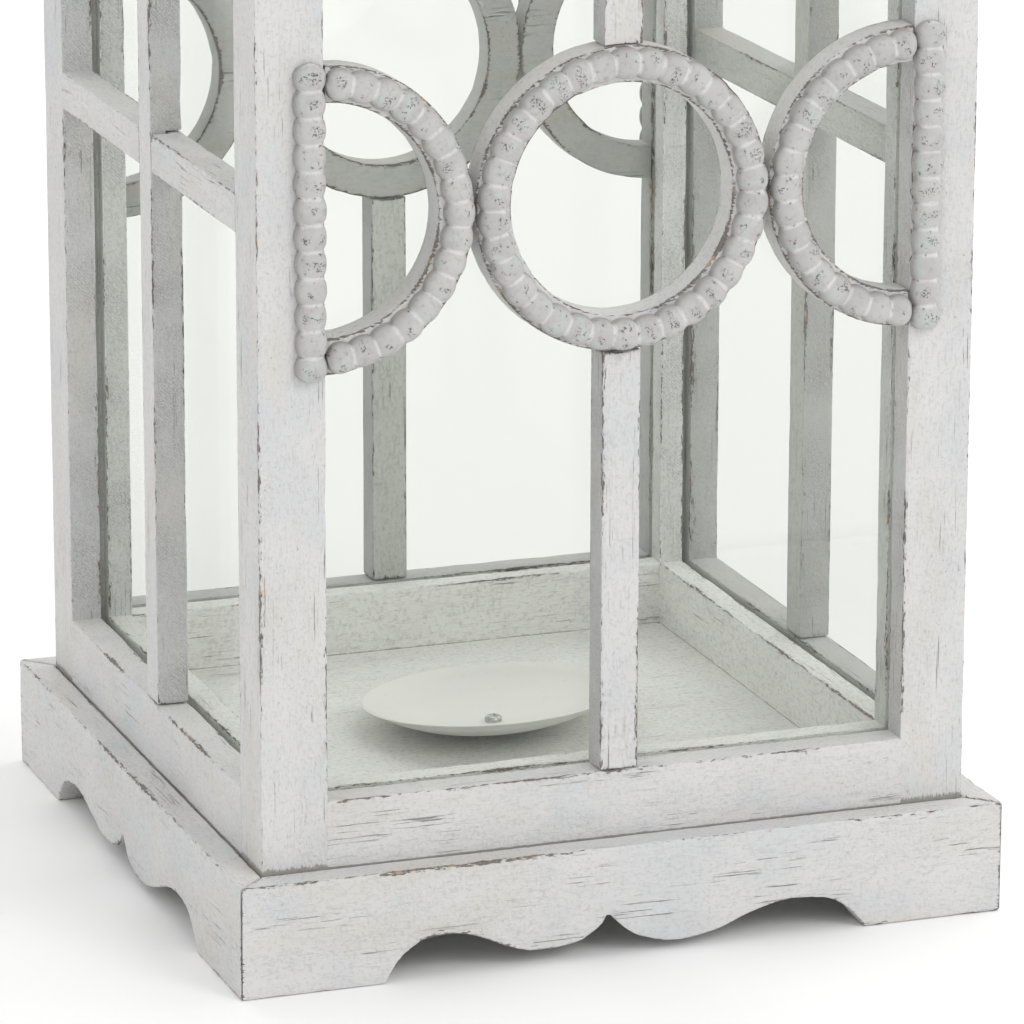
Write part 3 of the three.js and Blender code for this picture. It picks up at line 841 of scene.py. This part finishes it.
def add_ring_beads(side):
    sign = -1 if side == "front" else 1
    node = "ring_beading_" + side
    at = arc_frame(0, sign, 0, RING_BEADS, 2 * math.pi)
    mesh = bead_chain(node + "_beads", RING_BEADS, True, at)
    make_piece(node + "_beads", mesh, BEADS, node, 60)


def add_half_beads(node, side, hand):
    """hand is -1 for the D on the -X post and 1 for the D on the +X post."""
    sign = -1 if side == "front" else 1
    beads = RING_BEADS // 2
    low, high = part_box(node)
    start = -math.pi / 2 if hand < 0 else math.pi / 2
    arc = arc_frame(hand * POST_INNER, sign, start, beads, math.pi)
    arc_mesh = bead_chain(node + "_arc", beads, False, arc)
    x = hand * (POST_INNER + BEAD_HALF)
    column = column_frame(x, sign, low.z, high.z)
    column_mesh = bead_chain(node + "_column", COLUMN_BEADS, False, column)
    mesh = join_meshes(node + "_beads", [arc_mesh, column_mesh])
    make_piece(node + "_beads", mesh, BEADS, node, 60)


# ---- turned and small metal pieces ----
# Profiles are (radius, height) pairs in millimetres.
PLATE_TILT = math.radians(5.2)
PLATE_TURN = math.radians(63)
PLATE_HEIGHT = 1.9 * MM
PLATE_THICK = 1.05
PLATE_RISE = [
    (2.3, 0), (12, 0.05), (22, 1.05), (33, 3.5), (42, 6.9), (46.5, 9.5), (49.2, 10.8)
]
PLATE_LIP = [(49.8, 11.8), (49.9, 11.65), (49.75, 11.45)]
LIP_RADIUS = 49.8 * MM
LIP_REACH = 2.5 * MM
THINNING = 0.55
THINS_FROM = 25
PLATE_STEPS = 128
CURVE_STEPS = 6
SCREW_DOME = [(1.4, -0.05), (2.4, -0.35), (3.1, -0.9), (3.35, -1.5), (3.3, -1.95)]
SCREW_STEPS = 40
SHANK_RADIUS = 1.35 * MM
RECESS_LONG = 2.1
RECESS_SHORT = 0.5
RECESS_TAPER = 0.45
RECESS_ABOVE = 0.4 * MM
RECESS_DEPTH = 1.1 * MM
WIRE_FIT = 0.98
EYE_WIRE = 2 * MM
EYE_RADIUS = 5.4 * MM
EYE_STEPS = 48
STEM_OVERLAP = 0.2 * MM
STEM_POINT = 0.01 * MM
EYE_STEM = [
    (11, 0), (11, 0.08), (10.2, 0.16), (8.2, 0.24), (5.2, 0.36), (3.6, 0.56), (3.1, 0.8), (2.2, 1)
]
HEAD_DOME = [(1.0, 0.0), (0.86, 0.12), (0.5, 0.2), (0.2, 0.22)]
HEAD_RADIUS = 2 * MM
HEAD_STEPS = 20
HEAD_PLACE = 0.3
HINGE_BEVEL = 0.15 * MM
HINGE_SHARP_ANGLE = math.radians(50)


def bmesh_to_data(mesh, name):
    """Mesh data with its faces turned outwards."""
    bmesh.ops.recalc_face_normals(mesh, faces=mesh.faces)
    data = bpy.data.meshes.new(name)
    mesh.to_mesh(data)
    mesh.free()
    return data


def turned_mesh(name, profile, steps, turn, values):
    """A closed (radius, height) profile turned about Z, then placed by turn."""
    rows = []
    for i in range(steps):
        angle = 2 * math.pi * i / steps
        out = Vector((math.cos(angle), math.sin(angle), 0))
        rows.append([turn @ (out * radius + Vector((0, 0, height))) for radius, height in profile])
    return swept_mesh(name, rows, True, {key: v * steps for key, v in values.items()})


def smooth_profile(points, steps):
    """Points of a curve that runs smoothly through a few (radius, height) pairs."""
    padded = [points[0], *points, points[-1]]
    curve = []
    for i in range(1, len(padded) - 2):
        a, b, c, d = (np.array(padded[i + k]) for k in (-1, 0, 1, 2))
        for j in range(steps):
            t = j / steps
            curve.append(tuple(
                0.5 * (2 * b + (c - a) * t + (2 * a - 5 * b + 4 * c - d) * t**2
                       + (3 * b - a - 3 * c + d) * t**3)
            ))
    curve.append(tuple(points[-1]))
    return curve


def add_candle_plate():
    node = "candle_plate"
    axis = Vector((math.sin(PLATE_TURN), math.cos(PLATE_TURN), 0))
    floor_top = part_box("floor_panel")[1].z
    lift = Matrix.Translation((0, 0, floor_top + PLATE_HEIGHT))
    turn = lift @ Matrix.Rotation(-PLATE_TILT, 4, axis)
    top_rise = [(r * MM, (h + PLATE_THICK) * MM) for r, h in PLATE_RISE]
    over = smooth_profile(top_rise, CURVE_STEPS)
    thinning = [
        (r, h + THINNING * max(0.0, (r - THINS_FROM) / THINS_FROM)) for r, h in PLATE_RISE
    ]
    under = smooth_profile([(r * MM, h * MM) for r, h in thinning], CURVE_STEPS)
    profile = over + [(r * MM, h * MM) for r, h in PLATE_LIP] + under[::-1]
    edge = [max(0.0, 1 - (LIP_RADIUS - r) / LIP_REACH) for r, _ in profile]
    mesh = turned_mesh(node + "_dish", profile, PLATE_STEPS, turn, {"closeness": edge})
    make_piece(node + "_dish", mesh, ENAMEL, node, 40)


def add_plate_screw():
    """Pan head with a cross recess."""
    node = "plate_screw"
    low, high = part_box(node)
    top = high.z
    profile = [(r * MM, top + h * MM) for r, h in SCREW_DOME]
    profile.append((SHANK_RADIUS, low.z + MM))
    mesh = bmesh.new()
    rings = []
    for radius, height in profile:
        rings.append([
            mesh.verts.new((radius * math.cos(a), radius * math.sin(a), height))
            for a in (2 * math.pi * i / SCREW_STEPS for i in range(SCREW_STEPS))
        ])
    for upper, lower in zip(rings, rings[1:]):
        for i in range(SCREW_STEPS):
            k = (i + 1) % SCREW_STEPS
            mesh.faces.new((upper[i], lower[i], lower[k], upper[k]))
    mesh.faces.new(rings[0])
    mesh.faces.new(list(reversed(rings[-1])))
    data = bmesh_to_data(mesh, node + "_head")
    screw = make_piece(node + "_head", data, ZINC, node, 40)
    cut_recess(screw, top)


def cut_recess(screw, top):
    """Takes a crossed slot out of a screw head and keeps the result as its mesh."""
    cutter_mesh = bmesh.new()
    for long_x, long_y in ((RECESS_LONG, RECESS_SHORT), (RECESS_SHORT, RECESS_LONG)):
        made = bmesh.ops.create_cube(cutter_mesh, size=1)
        for vert in made["verts"]:
            taper = 1 if vert.co.z > 0 else RECESS_TAPER
            vert.co = Vector((
                vert.co.x * 2 * long_x * taper * MM,
                vert.co.y * 2 * long_y * taper * MM,
                top + (RECESS_ABOVE if vert.co.z > 0 else -RECESS_DEPTH),
            ))
    data = bpy.data.meshes.new("recess")
    cutter_mesh.to_mesh(data)
    cutter_mesh.free()
    cutter = bpy.data.objects.new("recess", data)
    bpy.context.scene.collection.objects.link(cutter)
    cut = screw.modifiers.new("recess", "BOOLEAN")
    cut.operation = "DIFFERENCE"
    cut.solver = "EXACT"
    cut.object = cutter
    cut.use_self = True
    bpy.context.view_layer.update()
    graph = bpy.context.evaluated_depsgraph_get()
    cut_mesh = bpy.data.meshes.new_from_object(screw.evaluated_get(graph), depsgraph=graph)
    screw.modifiers.clear()
    screw.data = cut_mesh
    bpy.data.objects.remove(cutter)


def torus_mesh(name, centre, normal_axis, radius, wire, steps, section):
    """A wire ring round centre whose plane faces an axis, 0 for X or 1 for Y."""
    rows = []
    side = Vector((0, 1, 0)) if normal_axis == 0 else Vector((1, 0, 0))
    normal = Vector((1, 0, 0)) if normal_axis == 0 else Vector((0, 1, 0))
    for i in range(steps):
        angle = 2 * math.pi * i / steps
        out = side * math.cos(angle) + Vector((0, 0, 1)) * math.sin(angle)
        row = []
        for j in range(section):
            turn = 2 * math.pi * j / section
            offset = out * (radius + wire * math.cos(turn)) + normal * wire * math.sin(turn)
            row.append(centre + offset)
        rows.append(row)
    return swept_mesh(name, rows, True, {})


def add_ring_handle():
    low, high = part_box("ring_handle")
    wire = (high.y - low.y) / 2
    radius = (high.x - low.x) / 2 - wire
    centre = (low + high) / 2
    mesh = torus_mesh("ring_handle_wire", centre, 1, radius, wire * WIRE_FIT, 96, 18)
    make_piece("ring_handle_wire", mesh, IRON, "ring_handle", 60)


def add_handle_eye():
    low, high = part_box("handle_eye")
    loop_radius = EYE_RADIUS - 0.05 * MM
    centre = Vector((0, 0, high.z - EYE_RADIUS - EYE_WIRE))
    loop = torus_mesh("eye_loop", centre, 0, loop_radius, EYE_WIRE * WIRE_FIT, EYE_STEPS, 14)
    stem_top = centre.z - loop_radius + STEM_OVERLAP
    height = stem_top - low.z
    outer = smooth_profile([(r * MM, low.z + h * height) for r, h in EYE_STEM], 5)
    profile = [(STEM_POINT, low.z)] + outer + [(STEM_POINT, stem_top)]
    stem = turned_mesh("eye_stem", profile, EYE_STEPS, Matrix.Identity(4), {})
    mesh = join_meshes("handle_eye_iron", [loop, stem])
    make_piece("handle_eye_iron", mesh, IRON, "handle_eye", 50)


def screw_heads(name, places, normal):
    """Small domed heads that lie on a hinge leaf."""
    mesh = bmesh.new()
    side = normal.orthogonal().normalized()
    up = normal.cross(side)
    for place in places:
        rings = []
        for share, rise in HEAD_DOME:
            rings.append([
                mesh.verts.new(
                    place + (side * math.cos(a) + up * math.sin(a)) * HEAD_RADIUS * share
                    + normal * rise * HEAD_RADIUS
                )
                for a in (2 * math.pi * i / HEAD_STEPS for i in range(HEAD_STEPS))
            ])
        for lower, upper in zip(rings, rings[1:]):
            for i in range(HEAD_STEPS):
                k = (i + 1) % HEAD_STEPS
                mesh.faces.new((lower[i], lower[k], upper[k], upper[i]))
        mesh.faces.new(rings[-1])
        mesh.faces.new(list(reversed(rings[0])))
    return bmesh_to_data(mesh, name)


def rounded_copy(node):
    """The CAD metalwork itself, welded and with its edges broken."""
    mesh = welded_mesh(node)
    sharp = [e for e in mesh.edges if e.is_manifold and e.calc_face_angle(0) > HINGE_SHARP_ANGLE]
    bmesh.ops.bevel(
        mesh, geom=sharp, offset=HINGE_BEVEL, segments=2, profile=0.5, affect="EDGES",
        clamp_overlap=True,
    )
    data = bpy.data.meshes.new(node)
    mesh.to_mesh(data)
    mesh.free()
    return data


def add_hinges():
    for hand in ("left", "right"):
        for leaf in ("body", "roof"):
            node = f"hinge_{leaf}_leaf_{hand}"
            low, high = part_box(node)
            middle = (low + high) / 2
            parts = [rounded_copy(node)]
            spread = (high.x - low.x) * HEAD_PLACE
            xs = (middle.x - spread, middle.x + spread)
            if leaf == "body":
                face = low.y + MM
                height = low.z + (high.z - low.z) * HEAD_PLACE
                places = [Vector((x, face, height)) for x in xs]
                parts.append(screw_heads(node + "_screws", places, Vector((0, 1, 0))))
            mesh = join_meshes(node + "_metal", parts)
            make_piece(node + "_metal", mesh, IRON, node, 35)


# ---- assembly ----
def add_wood():
    for side in SIDES:
        run = 0 if side in ("front", "back") else 1
        wood_piece("plinth_" + side, run, 5 * MM, 0.9 * MM)
        ends = ((run, -1), (run, 1))
        wood_piece("bottom_rail_" + side, run, joints=(*ends, (2, -1)), glazed=True)
        wood_piece("top_rail_" + side, run, joints=ends, glazed=True)
        wood_piece("cornice_" + side, run)
        wood_piece("roof_board_" + side, run, 12 * MM)
    for corner in ("front_left", "front_right", "back_right", "back_left"):
        wood_piece("post_" + corner, 2, joints=((2, -1),), glazed=True)
    for side in ("front", "back"):
        wood_piece("mullion_lower_" + side, 2)
        wood_piece("mullion_upper_" + side, 2)
        ring_plate("ring_" + side, side, 0, 0, 2 * math.pi)
    for side in ("left", "right"):
        wood_piece("mullion_" + side, 2)
        wood_piece("cross_rail_" + side, 1, joints=((1, -1), (1, 1)))
    wood_piece("floor_panel", 0, 24 * MM, 0.4 * MM, False)
    wood_piece("vent_collar", 0, 6 * MM, 0.6 * MM)
    wood_piece("vent_cap", 0, 8 * MM, 0.9 * MM)


def add_half_rings():
    for side in ("front", "back"):
        for hand in ("left", "right"):
            node = f"half_ring_{side}_{hand}"
            beading = f"half_beading_{side}_{hand}"
            where = -1 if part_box(node)[0].x < 0 else 1
            inset = HALF_RING_GAP / RING_INNER
            start = -math.pi / 2 + inset if where < 0 else math.pi / 2 + inset
            end = start + math.pi - 2 * inset
            ring_plate(node, side, where * POST_INNER, start, end)
            add_half_beads(beading, side, where)


def finish_cad_glass():
    for side in SIDES:
        pane = nodes["glass_" + side]
        pane.data.materials.clear()
        pane.data.materials.append(GLASS)


add_camera()
add_studio()
add_wood()
add_half_rings()
for bead_side in ("front", "back"):
    add_ring_beads(bead_side)
finish_cad_glass()
add_candle_plate()
add_plate_screw()
add_ring_handle()
add_handle_eye()
add_hinges()
